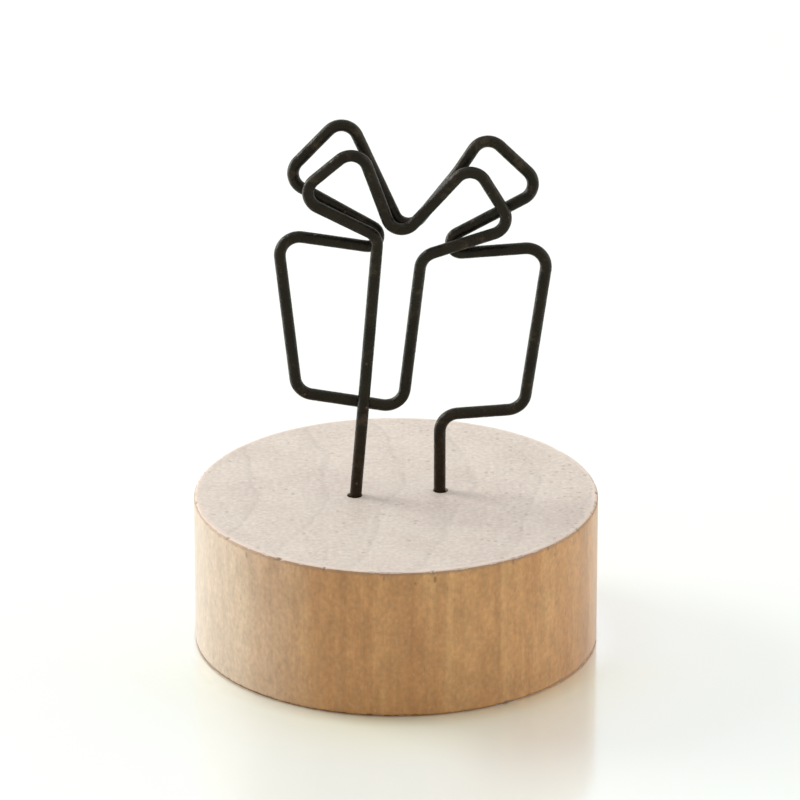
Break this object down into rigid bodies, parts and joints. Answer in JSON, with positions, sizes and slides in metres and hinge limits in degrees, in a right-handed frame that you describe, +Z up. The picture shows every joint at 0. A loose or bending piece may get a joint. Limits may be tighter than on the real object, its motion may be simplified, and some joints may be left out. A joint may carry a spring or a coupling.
{
  "type": "photo holder",
  "caption": "Round wooden block with a single black wire bent into the outline of a gift box and a layered bow, between whose layers a photo or card is held.",
  "frame": {"origin": "centre of the wooden block's underside, on the surface that it stands on", "axes": "+Z up along the block's axis, +X to the right seen from the front, -Y out of the front of the figure, where the front half of the bow is"},
  "size_m": [0.05, 0.05, 0.0671],
  "materials": {
    "wood": "fine-sanded natural wood, pale end grain on the flat faces and warmer long grain round the side",
    "iron_wire": "satin"
  },
  "bodies": {
    "root": {"wood_base": "wood", "bent_wire": "iron_wire"}
  },
  "joints": []
}
